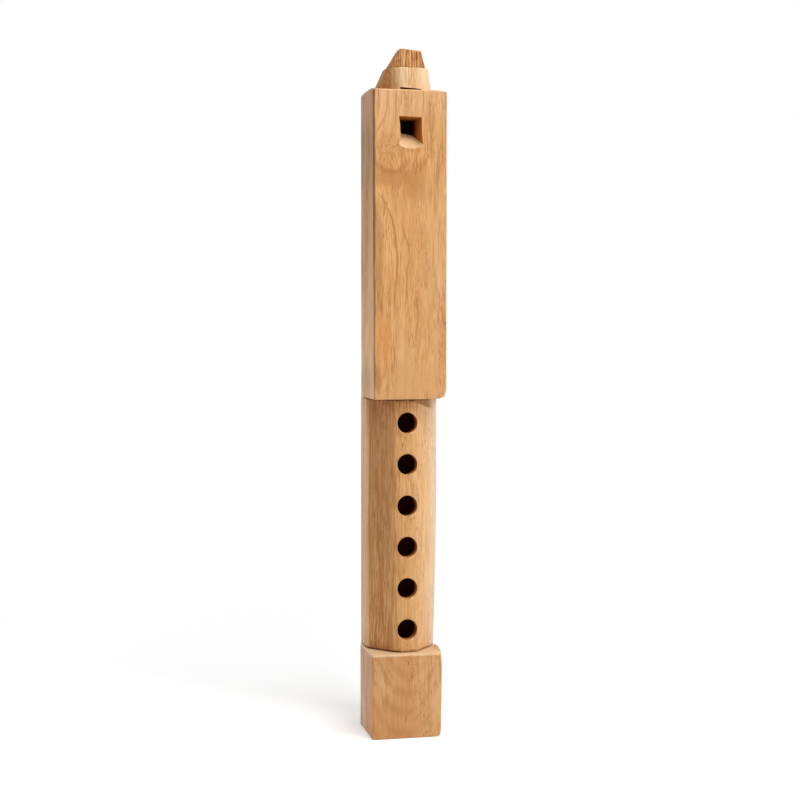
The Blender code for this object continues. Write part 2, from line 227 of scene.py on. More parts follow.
class TarkaColours(bpy.types.PropertyGroup):
    """Wood tones, linear."""

    honey: tone("Honey", "Main tone of the head", 0.74, 0.40, 0.160)
    honey_dark: tone("Honey streaks", "Darker grain of the head", 0.40, 0.155, 0.038)
    sand: tone("Sand", "Main tone of the barrel", 0.76, 0.42, 0.165)
    sand_dark: tone("Sand streaks", "Darker grain of the barrel", 0.40, 0.165, 0.045)
    clay: tone("Clay", "Main tone of the foot", 0.66, 0.345, 0.138)
    clay_dark: tone("Clay streaks", "Darker grain of the foot", 0.37, 0.14, 0.038)
    cream: tone("Cream", "Main tone of the collar", 0.85, 0.60, 0.365)
    cream_dark: tone("Cream streaks", "Darker grain of the collar", 0.62, 0.35, 0.145)
    rust: tone("Rust", "Main tone of the plug", 0.74, 0.355, 0.125)
    rust_dark: tone("Rust streaks", "Darker grain of the plug", 0.15, 0.028, 0.005)
    heart: tone("Heartwood", "Brown heartwood stains", 0.40, 0.16, 0.045)
    grime: tone("Grime", "Dirt worked into an edge", 0.13, 0.05, 0.015)
    pore: tone("Pores", "Dark flecks of the open pores", 0.27, 0.085, 0.018)
    amber: tone("Amber", "Warm stains in the wood", 0.66, 0.28, 0.07)
    # Painted sheen: the paler, greyer tone laid on the left sides
    left_sheen: tone("Ash", "Weathered wood on the left sides", 0.70, 0.51, 0.34)
    # Painted light laid on the right sides
    right_light: tone("Bleached", "Bleached wood on the right sides", 0.76, 0.62, 0.475)
    straw: tone("Straw", "Pale patches in the wood", 0.83, 0.52, 0.25)
    # Burnt and toasted: charred wood and painted shade deep in the bore, window and holes
    burnt_and_shaded: tone("Burnt", "Charred wood inside the bore", 0.07, 0.016, 0.006)
    toasted_and_shaded: tone("Toasted", "Browned wall of a finger hole near its rim", 0.40, 0.14, 0.012)


class TarkaStage(bpy.types.PropertyGroup):
    """Camera and light."""

    camera_azimuth: turn("Camera azimuth", "Turn of the camera from the front", -12.917)
    camera_distance: length("Camera distance", "Distance from the bore axis", 848.0)
    camera_height: length("Camera height", "Height above the floor", 211.2)
    camera_pitch: turn("Camera pitch", "Downward tilt", 2.991)
    camera_yaw: turn("Camera yaw", "Turn away from the bore axis", 0.105)
    lens: number("Lens", "Focal length in millimetres", 76.5)
    key_power: number("Key light", "Power of the soft key light", 8.4, unit="POWER")
    side_power: number("Side light", "Power of the soft light on the right", 3.0, unit="POWER")
    rim_power: number("Rim light", "Power of the soft light on the left", 2.0, unit="POWER")
    ambient: number("Ambient", "Strength of the even light all round", 0.36)


# Outlines and skins

def limited(value):
    """A value kept between 0 and 1."""
    return min(1.0, max(0.0, value))


def fade(distance, reach):
    """1 at no distance, falling evenly to 0 at a reach."""
    return max(0.0, 1.0 - distance / reach)


def blend(first, second, share):
    """A point or a colour part of the way from one to another."""
    return Vector(first).lerp(Vector(second), share)


def corner_frames(corners):
    """Each corner of a convex outline, unit vectors back, onwards and inwards, and half its angle."""
    count = len(corners)
    for i in range(count):
        corner = Vector(corners[i])
        back = (Vector(corners[i - 1]) - corner).normalized()
        onwards = (Vector(corners[(i + 1) % count]) - corner).normalized()
        yield corner, back, onwards, (back + onwards).normalized(), back.angle(onwards) / 2


def rounded_outline(corners, radii, arc_steps, edge_steps):
    """Points round a convex outline whose corners are arcs, as many on each as asked."""
    arcs = []
    for (corner, back, onwards, inwards, half), radius in zip(corner_frames(corners), radii):
        reach = radius / math.tan(half)
        centre = corner + inwards * (radius / math.sin(half))
        first = corner + back * reach - centre
        swing = -first.angle_signed(corner + onwards * reach - centre) / arc_steps
        arcs.append([centre + Matrix.Rotation(swing * step, 2) @ first for step in range(arc_steps + 1)])
    points = []
    for arc, following in zip(arcs, arcs[1:] + arcs[:1]):
        points += arc
        points += [arc[-1].lerp(following[0], step / edge_steps) for step in range(1, edge_steps)]
    return points


def inset(corners, distance):
    """A convex outline moved inwards by a distance."""
    return [corner + inwards * (distance / math.sin(half))
            for corner, _, _, inwards, half in corner_frames(corners)]


def ease_rows(bottom, top, low_ease, high_ease, spacing):
    """Heights and insets of a skin's rows: a rounded edge at each end and even rows between."""
    angles = [math.pi / 2 * step / EASE_STEPS for step in range(EASE_STEPS + 1)]
    straight = top - bottom - low_ease - high_ease
    count = max(1, round(straight / spacing))
    rows = [(bottom + low_ease * (1 - math.cos(angle)), low_ease * (1 - math.sin(angle))) for angle in angles[:-1]]
    rows += [(bottom + low_ease + straight * step / count, 0.0) for step in range(count + 1)]
    rows += [(top - high_ease * (1 - math.sin(angle)), high_ease * (1 - math.cos(angle))) for angle in angles[1:]]
    return rows


def skin(rings):
    """A closed skin over rings that have as many points each, lowest ring first."""
    shape = bmesh.new()
    rows = [[shape.verts.new(point) for point in ring] for ring in rings]
    count = len(rows[0])
    for lower, upper in zip(rows, rows[1:]):
        for i in range(count):
            j = (i + 1) % count
            shape.faces.new((lower[i], lower[j], upper[j], upper[i]))
    shape.faces.new(rows[0][::-1])
    shape.faces.new(rows[-1])
    bmesh.ops.recalc_face_normals(shape, faces=shape.faces)
    return shape


def lofted(lower, upper, radii, bottom, top, eases, edge_steps, arc_steps=5, spacing=BLOCK_ROW, taper=None):
    """A skin between two outlines of corners, with rounded corners and eased ends."""
    rings = []
    for height, draw_in in ease_rows(bottom, top, *eases, spacing):
        share = (height - bottom) / (top - bottom)
        if taper is not None:
            share = taper(share)
        corners = [blend(low, high, share) for low, high in zip(lower, upper)]
        outline = rounded_outline(inset(corners, draw_in), radii, arc_steps, edge_steps)
        rings.append([(*point, height) for point in outline])
    return skin(rings)


def turned(profile):
    """A turned solid from radius and height pairs, lowest first."""
    angles = [2 * math.pi * step / ROUND_STEPS for step in range(ROUND_STEPS)]
    return skin([[(radius * math.cos(angle), radius * math.sin(angle), height) for angle in angles]
                 for radius, height in profile])


def drill(radius, bottom, top):
    """A straight round cutter."""
    return turned([(radius, bottom), (radius, top)])


def dowel(radius, bottom, top, ease):
    """A turned dowel with eased ends."""
    return turned([(radius - ease, bottom), (radius, bottom + ease), (radius, top - ease), (radius - ease, top)])


def bar(low, high):
    """A straight-sided bar between two corners."""
    shape = bmesh.new()
    bmesh.ops.create_cube(shape, size=1.0)
    for vertex in shape.verts:
        vertex.co = [low[i] if vertex.co[i] < 0 else high[i] for i in range(3)]
    return shape


def hand_planed(shape, depth, seed):
    """A skin made uneven sideways, broadly and a little finely, as hand planing leaves it."""
    for vertex in shape.verts:
        sway = []
        for shift in (seed, seed + 0.5):
            x, y, z = vertex.co + Vector((shift, 2.3 * shift, 5.1 * shift))
            sway.append(depth * sum(share * noise.noise(Vector((x * across, y * across, z * along)))
                                    for across, along, share in RIPPLES))
        vertex.co += Vector((*sway, 0.0))
    return shape


def make_object(name, shape, material):
    """An object at the origin from a bmesh, with one material."""
    mesh = bpy.data.meshes.new(name)
    shape.to_mesh(mesh)
    shape.free()
    mesh.materials.append(material)
    result = bpy.data.objects.new(name, mesh)
    bpy.context.scene.collection.objects.link(result)
    return result


def carved(name, shape, wood, tools, drilled=None):
    """A plain mesh of a blank, worked with tools given as (operation, bmesh, wood), and drilled if asked."""
    body = make_object(name, shape, WOODS[wood])
    cutters = []
    for operation, tool, tool_wood in tools:
        cutter = make_object(f"{name}_tool", tool, WOODS[tool_wood])
        modifier = body.modifiers.new("tool", "BOOLEAN")
        modifier.operation = operation
        modifier.object = cutter
        modifier.solver = "MANIFOLD"
        modifier.material_mode = "TRANSFER"
        cutters.append(cutter)
    if drilled is not None:
        drilled(body)
    graph = bpy.context.evaluated_depsgraph_get()
    mesh = bpy.data.meshes.new_from_object(body.evaluated_get(graph))
    blank, worked = [{tuple(round(c / MM) for c in v.co) for v in item.vertices} for item in (body.data, mesh)]
    if len(blank & worked) < len(blank) / 2:
        raise RuntimeError(f"{name} lost its outer faces when it was carved")
    body.modifiers.clear()
    body.data = mesh
    mesh.name = name
    for cutter in cutters:
        bpy.data.objects.remove(cutter, do_unlink=True)
    mesh.shade_smooth()
    mesh.set_sharp_from_angle(angle=SHARP_ANGLE)
    return body


def hand_over(body, body_name, node):
    """Put a finished piece under its body's empty, and hide the solid it stands for."""
    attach(body, body_name)
    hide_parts(node)


# Node helpers

def feed(node, inputs):
    """Join or set a node's inputs, by name or number; a constant colour has three numbers."""
    for key, value in inputs.items():
        socket = node.inputs[key]
        if isinstance(value, Output):
            node.id_data.links.new(value.socket, socket)
        else:
            socket.default_value = (*value, 1.0) if socket.type == "RGBA" else value


def add(tree, kind, inputs=None, **settings):
    """A new node with its settings and inputs; gives its first output."""
    node = tree.nodes.new(kind)
    for name, setting in settings.items():
        setattr(node, name, setting)
    feed(node, inputs or {})
    return Output(node.outputs[0])


class Output:
    """A node's output; arithmetic on it, with other outputs and constants, adds nodes."""

    def __init__(self, socket):
        """Start from a socket."""
        self.socket, self.node, self.tree = socket, socket.node, socket.id_data

    def __getitem__(self, key):
        """Another output of the same node."""
        return Output(self.node.outputs[key])

    def math(self, operation, *others):
        """A math node."""
        return add(self.tree, "ShaderNodeMath", dict(enumerate((self, *others))), operation=operation)

    __add__ = partialmethod(math, "ADD")
    __sub__ = partialmethod(math, "SUBTRACT")
    __mul__ = partialmethod(math, "MULTIPLY")
    __truediv__ = partialmethod(math, "DIVIDE")
    __pow__ = partialmethod(math, "POWER")
    __abs__ = partialmethod(math, "ABSOLUTE")
    most = partialmethod(math, "MAXIMUM")
    least = partialmethod(math, "MINIMUM")

    def __rsub__(self, other):
        """A constant less the output."""
        return self.math("MULTIPLY_ADD", -1.0, other)

    def vector(self, operation, other):
        """A vector math node."""
        return add(self.tree, "ShaderNodeVectorMath", {0: self, 1: other}, operation=operation)

    def axes(self):
        """X, Y and Z of a vector."""
        parts = add(self.tree, "ShaderNodeSeparateXYZ", {0: self})
        return [parts[axis] for axis in range(3)]

    def noise(self, scale, detail, roughness=0.5, along=1.0, through=1.0):
        """Noise at a place, drawn out along Z or Y by a share under 1."""
        place = self if along * through == 1.0 else self.vector("MULTIPLY", (1.0, through, along))
        return add(self.tree, "ShaderNodeTexNoise", {"Vector": place, "Scale": scale, "Detail": detail,
                                                     "Roughness": roughness})

    def ramp(self, low, high, low_to=0.0, high_to=1.0):
        """A smooth step between two values."""
        limits = {"Value": self, "From Min": low, "From Max": high, "To Min": low_to, "To Max": high_to}
        return add(self.tree, "ShaderNodeMapRange", limits, interpolation_type="SMOOTHSTEP")

    def step(self, low, high, origin=0.0):
        """A smooth step from 0 to 1 between two distances from an origin, in millimetres."""
        return self.ramp(origin + low * MM, origin + high * MM)

    def mix(self, first, second, blend_type="MIX"):
        """A mix of two colours, with this share of the second."""
        return add(self.tree, "ShaderNodeMix", {0: self, 6: first, 7: second}, data_type="RGBA",
                   blend_type=blend_type)[2]


def joined(tree, x=0.0, y=0.0, z=0.0):
    """A vector from X, Y and Z."""
    return add(tree, "ShaderNodeCombineXYZ", {0: x, 1: y, 2: z})


class Coat:
    """A material in the making: its shader, object coordinates and the colour laid on so far."""

    def __init__(self, name):
        """Start a material."""
        self.material = bpy.data.materials.new(name)
        self.material.use_nodes = True
        self.tree = self.material.node_tree
        self.shader = self.tree.nodes["Principled BSDF"]
        self.place = add(self.tree, "ShaderNodeTexCoord")["Object"]
        self.axes = self.place.axes()
        self.tones = bpy.context.scene.tarka_colours
        self.colour = None

    def group(self, name, **values):
        """A shared group with its inputs, whose names have spaces for underscores."""
        values = {key.replace("_", " "): value for key, value in values.items()}
        return add(self.tree, "ShaderNodeGroup", {"Place": self.place, **values}, node_tree=GROUPS[name])

    def patch(self, x, z, width, height, origin):
        """A soft patch at X and at Z from an origin, with its spreads, in millimetres."""
        return self.group("patch", Centre=(x * MM, 0.0, origin + z * MM), Spread=(width * MM, 1.0, height * MM))

    def lay(self, stain, share):
        """Lay a share of another colour over the colour: a stain, painted light or painted shade."""
        self.colour = share.mix(self.colour, stain)

    def tint(self, filter_colour, share):
        """Multiply the colour by another, as far as a share."""
        self.colour = share.mix(self.colour, filter_colour, "MULTIPLY")

    def overlay(self, name, **values):
        """Lay a shared group over the colour."""
        self.colour = self.group(name, Colour=self.colour, **values)

    def finish(self, roughness, gloss, height, depth):
        """Set the shader's colour, roughness and gloss, and raise its surface by a share of a depth."""
        raised = add(self.tree, "ShaderNodeBump", {"Strength": 1.0, "Distance": depth, "Height": height})
        feed(self.shader, {"Base Color": self.colour, "Roughness": roughness, "Specular IOR Level": gloss,
                           "Normal": raised})
        return self.material


# Shader groups

def new_group(name, inputs, outputs, tree_kind="ShaderNodeTree"):
    """An empty node group with its entry and exit; its sockets are kinds, or numbers as defaults."""
    tree = bpy.data.node_groups.new(name, tree_kind)
    for in_out, sockets in (("INPUT", inputs), ("OUTPUT", outputs)):
        for key, kind in sockets.items():
            if isinstance(kind, float):
                tree.interface.new_socket(key, in_out=in_out, socket_type=NUMBER).default_value = kind
            else:
                tree.interface.new_socket(key, in_out=in_out, socket_type=kind)
    return tree, add(tree, "NodeGroupInput"), tree.nodes.new("NodeGroupOutput")


def grain_group():
    """Growth rings round a pith, long veins that follow them, fibres, and short open pores."""
    tree, entry, leave = new_group("wood_grain", {
        "Place": VECTOR, "Ring Spacing": 4.0 * MM, "Ring Share": 0.15, "Pith X": 38.0 * MM, "Pith Y": 30.0 * MM,
        "Lean X": 0.0, "Lean Y": 0.0, "Bend": 0.0, "Warp": 2.0 * MM, "Fibre Share": 0.85, "Vein Share": 0.5,
        "Pore Share": 1.0}, {"Tone": NUMBER, "Pores": NUMBER, "Height": NUMBER})
    sway = entry["Place"].noise(38.0, 2.0, along=0.4)[1].vector("SUBTRACT", (0.5, 0.5, 0.5))
    warp = add(tree, "ShaderNodeVectorMath", {0: sway, "Scale": entry["Warp"]}, operation="SCALE")
    place = entry["Place"].vector("ADD", warp).vector("ADD", joined(tree, entry["Bend"]))
    x, y, z = place.axes()
    across = x - (z * entry["Lean X"] + entry["Pith X"])
    through = y - (z * entry["Lean Y"] + entry["Pith Y"])
    reach = (across * across + through * through).math("SQRT")
    ring = ((reach / entry["Ring Spacing"] * (2 * math.pi)).math("SINE") * 0.5 + 0.5) ** 1.6
    patch = place.noise(130.0, 2.0, along=0.3)
    ridge = abs(joined(tree, reach, y * 0.2, z).noise(1000.0, 2.0, 0.4, along=0.06) - 0.5)
    veins = ridge.ramp(0.07, 0.015) * patch.ramp(0.46, 0.58) * entry["Vein Share"]
    pores = place.noise(1900.0, 1.0, along=0.15).ramp(0.63, 0.71) * patch.ramp(0.42, 0.60, 0.15, 1.0)
    pores = pores * entry["Pore Share"]
    strength = entry["Fibre Share"] * place.noise(62.0, 2.0, along=0.45).ramp(0.38, 0.62, 0.45, 1.45)
    fibre = (place.noise(1100.0, 4.0, 0.75, along=0.05) - 0.5) * strength
    thread = (place.noise(2000.0, 2.0, 0.6, along=0.07) - 0.5) * strength
    rings = (ring - 0.4) * entry["Ring Share"]
    figure = (rings + fibre + (veins + (thread * 1.8 + 0.30))).least(1.0).most(0.0)
    feed(leave, {"Tone": figure, "Pores": pores.least(1.0), "Height": pores * -0.5 + figure * -0.5})
    return tree


def mottle_group():
    """Broad pale and warm patches laid over a wood's colour."""
    tree, entry, leave = new_group("wood_mottle", {
        "Place": VECTOR, "Colour": COLOUR, "Pale": COLOUR, "Warm": COLOUR, "Pale Share": 0.4, "Warm Share": 0.25},
        {"Colour": COLOUR})
    drawn = entry["Place"].vector("MULTIPLY", (1.0, 1.0, 0.35))
    pale = drawn.noise(85.0, 3.0).ramp(0.48, 0.68) * entry["Pale Share"]
    warm = drawn.vector("ADD", (0.31, 0.17, 0.23)).noise(60.0, 3.0).ramp(0.50, 0.70) * entry["Warm Share"]
    feed(leave, {"Colour": warm.mix(pale.mix(entry["Colour"], entry["Pale"]), entry["Warm"])})
    return tree


def hairlines(place):
    """A mask of long thin lines of grain."""
    ridge = abs(place.noise(900.0, 2.0, 0.4, along=0.025, through=0.3) - 0.5)
    return ridge.ramp(0.09, 0.03) * place.noise(380.0, 1.0, along=0.10).ramp(0.42, 0.54)


def blotches(place):
    """A mask of ragged spots, drawn out along the wood."""
    return place.noise(620.0, 4.0, 0.65, along=0.5).ramp(0.47, 0.58)


def marks_group(name, marks):
    """Marks of a stain laid over a colour."""
    tree, entry, leave = new_group(name, {
        "Place": VECTOR, "Colour": COLOUR, "Stain": COLOUR, "Where": 1.0, "Share": 0.5}, {"Colour": COLOUR})
    share = marks(entry["Place"]) * entry["Where"] * entry["Share"]
    feed(leave, {"Colour": share.mix(entry["Colour"], entry["Stain"])})
    return tree


def left_side_light_group():
    """A left side, turned about its back corner: darker streaks, a painted sheen in shares from its top to its
    bottom, and painted shade at its top.
    """
    tree, entry, leave = new_group("wood_weathering", {
        "Place": VECTOR, "Colour": COLOUR, "Ash": COLOUR, "Corner": VECTOR, "Turn": 0.0, "Low": 0.0, "High": 0.0,
        "Top Share": 0.0, "Low Share": 0.4, "Shade Share": 0.5, "Front Loss": 0.0}, {"Colour": COLOUR})
    place, top_share = entry["Place"], entry["Top Share"]
    offset = place.vector("SUBTRACT", entry["Corner"])
    squared = add(tree, "ShaderNodeVectorRotate", {"Vector": offset, "Angle": entry["Turn"]}, rotation_type="Z_AXIS")
    inwards, backwards, _ = squared.axes()
    side = inwards.step(0.8, 0.3)
    fall = place.axes()[2].ramp(entry["High"], entry["Low"])
    streaks = place.noise(130.0, 2.0, along=0.3).ramp(0.40, 0.62)
    kept = 1.0 - backwards.step(-16.0, -31.0) * entry["Front Loss"]
    # Painted sheen: a left side paler and greyer, more so lower down
    pale = side * kept * (fall * (entry["Low Share"] - top_share) + top_share)
    streaked = (side * streaks).mix(pale.mix(entry["Colour"], entry["Ash"]), STREAK_TINT, "MULTIPLY")
    # Painted shade: a left side darker towards its top
    top_shade = side * (1.0 - fall) ** 2.0 * entry["Shade Share"]
    feed(leave, {"Colour": top_shade.mix(streaked, SIDE_SHADE_TINT, "MULTIPLY")})
    return tree


def depth_darkening_group():
    """How deep a point lies behind the front, unevenly, and the patches that uneven it."""
    tree, entry, leave = new_group("wood_charring", {"Place": VECTOR}, {"Depth": NUMBER, "Patches": NUMBER})
    patches = entry["Place"].noise(700.0, 3.0, 0.6, through=0.4)
    feed(leave, {"Depth": (patches - 0.5) * (1.6 * MM) + entry["Place"].axes()[1], "Patches": patches})
    return tree


def patch_group():
    """A soft patch over X and Z: 1 at its centre, and 1 / e at its spread."""
    tree, entry, leave = new_group("soft_patch", {"Place": VECTOR, "Centre": VECTOR, "Spread": VECTOR},
                                   {"Mask": NUMBER})
    x, _, z = entry["Place"].vector("SUBTRACT", entry["Centre"]).vector("DIVIDE", entry["Spread"]).axes()
    feed(leave, {"Mask": ((x * x + z * z) * -1.0).math("EXPONENT")})
    return tree


# Woods

def joint_grime(coat, height, reach, share):
    """Dirt in a joint: a ragged dark line at a height, as wide as a reach."""
    uneven = coat.place.noise(240.0, 3.0, 0.6, along=0.3) - 0.5
    near = uneven * (-2.0 * reach) + abs(coat.axes[2] - height)
    coat.lay(coat.tones.grime, near.ramp(reach, 0.5 * reach) * share)


def streak(coat, path, width, share):
    """Lay a thin line of heartwood along (X, Z) points from the top down."""
    x, _, z = coat.axes
    high, low = path[0][1], path[-1][1]
    left = min(point[0] for point in path)
    span = max(point[0] for point in path) - left
    fall = (high - z) / (high - low)
    curve = add(coat.tree, "ShaderNodeFloatCurve", {"Value": fall})
    mapping = curve.node.mapping
    points = mapping.curves[0].points
    points[0].location = (0.0, (path[0][0] - left) / span)
    points[1].location = (1.0, (path[-1][0] - left) / span)
    for across, height in path[1:-1]:
        points.new((high - height) / (high - low), (across - left) / span)
    mapping.update()
    ragged = coat.place.noise(420.0, 2.0, along=0.3)
    away = abs(x + (ragged - 0.5) * (2.0 * width) - (curve * span + left))
    ends = fall.ramp(0.0, 0.1) * fall.ramp(1.0, 0.85)
    line = away.ramp(width, 0.3 * width) * ends * ragged.ramp(0.30, 0.55, 0.45, 1.0)
    coat.lay(coat.tones.heart, line * share)


def head_finish(coat, tones, x, y, z):
    """The head's stains, painted sheen and shade on its left, growth lines, fair parts, knot, dirty edge and a
    painted highlight along its top.
    """
    place, top = coat.place, HEAD_HIGH.z
    stains = {"plain": blend(tones.honey, tones.honey_dark, 0.3), "deep": blend(tones.honey, tones.honey_dark, 0.72),
              "heart": tones.heart, "amber": tones.amber}
    uneven = place.noise(260.0, 4.0, 0.6, along=0.35) - 0.5
    for *where, stain, share in HEAD_STAINS:
        coat.lay(stains[stain], (coat.patch(*where, top) + uneven).ramp(0.25, 0.85) * share)
    coat.overlay("weathering", Ash=tones.left_sheen, Corner=(HEAD_LOW.x, HEAD_HIGH.y, 0.0),
                 Turn=MEAN_SKEW * HEAD_SKEW / (HEAD_HIGH.y - HEAD_LOW.y),
                 Low=HEAD_LOW.z + 20.0 * MM, High=top - 10.0 * MM, Low_Share=0.35, Shade_Share=0.9)
    front = y.step(4.0, 2.0, HEAD_LOW.y)
    for path, width, share in GROWTH_LINES:
        streak(coat, [(across * MM, top + down * MM) for across, down in path], width * MM, front * share)
    upper, outer, lower = z.step(-26.0, -4.0, top), x.step(4.0, 12.0), z.step(45.0, 15.0, HEAD_LOW.z)
    coat.lay(tones.cream, (upper * 0.2).most(outer.most(lower) * 0.06))
    lined = upper.most(outer * z.step(-110.0, -80.0, top))
    coat.overlay("hairlines", Stain=tones.heart, Where=lined, Share=0.5)
    knot = (place.noise(190.0, 3.0, 0.6) - 0.5) * 0.25 + coat.patch(*KNOT_RING, top)
    ring = abs(knot - math.exp(-1.0)).ramp(0.17, 0.03) * z.step(-31.0, -37.0, top)
    coat.lay(tones.heart, ring * front * 0.55)
    speckle = place.noise(1000.0, 1.0).ramp(0.55, 0.63) * coat.patch(*KNOT_MIDDLE, top)
    coat.lay(tones.heart, speckle * front * 0.85)
    aside, behind = x - (HEAD_LOW.x - MEAN_SKEW * HEAD_SKEW), y - HEAD_LOW.y
    away = (aside * aside + behind * behind).math("SQRT")
    worn = (place.noise(160.0, 4.0, 0.7, along=0.5) * (-1.6 * MM) + away).step(0.5, -0.4)
    coat.lay(tones.grime, worn * (z.ramp(HEAD_LOW.z + 20.0 * MM, top - 60.0 * MM) * 0.15 + 0.6))
    # Painted highlight: a pale band along the top edge of the head
    top_edge_highlight = z.step(-0.9, -0.3, top + HEAD_RISE)
    coat.lay(tones.straw, top_edge_highlight * (x.step(0.0, 3.0, HEAD_LOW.x) * 0.5 + 0.2))


def barrel_finish(coat, tones, x, y, z):
    """Painted sheen on the left strip, heartwood and painted shade beside it, a paler right partly of painted light,
    painted shade and a painted shadow near the blocks, and dirt in the joints.
    """
    left = x.step(-2.0, -12.0)
    outer = (y * -0.12 + x).step(-19.4, -16.0)
    patchy = coat.place.noise(95.0, 2.0, along=0.3).ramp(0.36, 0.62, 0.45, 1.3)
    rise = z.ramp(FOOT_HIGH.z + 10.0 * MM, HEAD_LOW.z - 40.0 * MM, 0.65, 1.2)
    # Heartwood and painted shade on the left-front facet
    coat.tint(HEART_AND_SHADE_TINT, left * outer * patchy * rise)
    # Painted sheen on the barrel's left strip
    coat.lay(tones.left_sheen, (1.0 - outer) * 0.4)
    # Paler towards the right: partly painted light from the right
    coat.lay(tones.cream, x.step(-2.0, 15.0) * 0.45)
    coat.overlay("hairlines", Stain=tones.heart, Where=left * outer * 0.75 + 0.25, Share=0.9)
    # Painted light on the right edge
    coat.lay(tones.right_light, x.step(11.0, 15.5) * 0.45)
    shaded = left * (outer * 0.65 + 0.35)
    # Painted shade under the head and over the foot
    for far, near, block in ((-12.0, -2.0, HEAD_LOW.z), (6.0, 0.0, FOOT_HIGH.z)):
        coat.tint(UNDER_SHADE_TINT, z.step(far, near, block) * shaded * 0.8)
    cast = ((y - BARREL_LOW.y) * -0.35 + (HEAD_LOW.z - z)).step(2.4, 1.5)
    facets = x.ramp(3.0 * MM, 7.0 * MM, 0.4, 1.0) * x.step(16.5, 10.5)
    coat.tint(SHADOW_TINT, cast * x.step(-8.0, -4.0) * facets)
    joint_grime(coat, HEAD_LOW.z, 1.3 * MM, y.step(11.0, 8.5) * 0.95)
    joint_grime(coat, FOOT_HIGH.z - FOOT_DROP, 1.35 * MM, x.ramp(-5.0 * MM, 1.0 * MM, 0.95, 0.55))


def foot_finish(coat, tones, x, _, z):
    """Painted sheen and shade on the foot's left side, its paler right, and a painted highlight on the shoulder round
    its top.
    """
    coat.overlay("weathering", Ash=tones.left_sheen, Corner=(FOOT_LOW.x - FOOT_LEFT, FOOT_HIGH.y, 0.0),
                 Turn=FOOT_SKEW / (FOOT_HIGH.y - FOOT_LOW.y), Low=FOOT_LOW.z, High=FOOT_HIGH.z,
                 Top_Share=0.45, Low_Share=0.52, Shade_Share=0.25, Front_Loss=1.0)
    right = x.step(-4.0, 14.0)
    coat.lay(tones.straw, right * 0.3)
    lined = right * z.ramp(FOOT_LOW.z + 12.0 * MM, FOOT_HIGH.z - 12.0 * MM) * 0.6 + 0.4
    coat.overlay("hairlines", Stain=tones.heart, Where=lined, Share=0.5)
    # Painted highlight on the shoulder round the foot's top
    coat.lay(tones.cream, z.step(-1.9, -0.9, FOOT_HIGH.z) * 0.7)


def collar_finish(coat, tones, x, _, z):
    """Painted shade on the collar's left facets, and painted light on its right."""
    left = x.step(-3.0, -10.0)
    # Painted shade on the left facets
    coat.tint(SHADED_TINT, left * (z.ramp(COLLAR_HIGH.z, HEAD_HIGH.z) * 0.2 + 0.95))
    coat.overlay("hairlines", Stain=tones.heart, Share=0.32)
    coat.overlay("blotches", Stain=tones.pore, Where=left, Share=0.55)
    # Painted light on the right
    coat.lay(tones.right_light, x.step(6.0, 11.0) * 0.6)


def plug_finish(coat, tones, x, *_):
    """Paler wood on the left of the plug's front, painted shade on its left facet, and its right facet darker."""
    coat.lay(tones.straw, coat.patch(-2.0, -5.0, 2.4, 14.0, PLUG_HIGH.z) * 0.22)
    coat.tint(PLUG_SIDE_TINT, x.step(4.6, 5.9))
    left = x.step(-3.2, -4.6)
    # Painted shade on the plug's left facet
    coat.tint(PLUG_LEFT_SHADE_TINT, left)
    coat.overlay("blotches", Stain=tones.pore, Where=left, Share=0.7)


def wood_material(name, light, dark, finish=None, pale=0.25, warm=0.25, bend=None, **grain):
    """Oiled wood: grain between two tones, broad patches, any finish of its own, then pores."""
    coat = Coat(name)
    tones = coat.tones
    if bend is not None:
        mound = coat.patch(*bend, HEAD_HIGH.z)
        for key in ("Vein_Share", "Pore_Share"):
            grain[key] = mound.math("MULTIPLY_ADD", -grain[key], grain[key])
        grain["Bend"] = mound * BEND_WIDTH
    figure = coat.group("grain", **grain)
    coat.colour = figure["Tone"].mix(getattr(tones, light), getattr(tones, dark))
    coat.overlay("mottle", Pale=tones.straw, Warm=tones.amber, Pale_Share=pale, Warm_Share=warm)
    if finish is not None:
        finish(coat, tones, *coat.axes)
    coat.lay(tones.pore, figure["Pores"] * PORE_SHARE)
    return coat.finish(figure["Tone"].ramp(0.0, 1.0, *WOOD_ROUGHNESS), WOOD_GLOSS, figure["Height"], WOOD_DEPTH)


def charred_and_shaded_material(name, *stops, left=None):
    """Wood that darkens with depth, charred and in painted shade, from (Y, colour) stops inwards; its left may start
    with another colour.
    """
    coat = Coat(name)
    darkening = coat.group("charring")
    coat.colour = stops[0][1]
    if left is not None:
        coat.colour = coat.axes[0].step(0.0, 2.0).mix(left, coat.colour)
    for (near, _), (far, deeper) in zip(stops, stops[1:]):
        coat.lay(deeper, darkening["Depth"].ramp(near, far))
    patches = darkening["Patches"]
    return coat.finish(patches.ramp(0.3, 0.7, *CHAR_ROUGHNESS), CHAR_GLOSS, patches, CHAR_DEPTH)


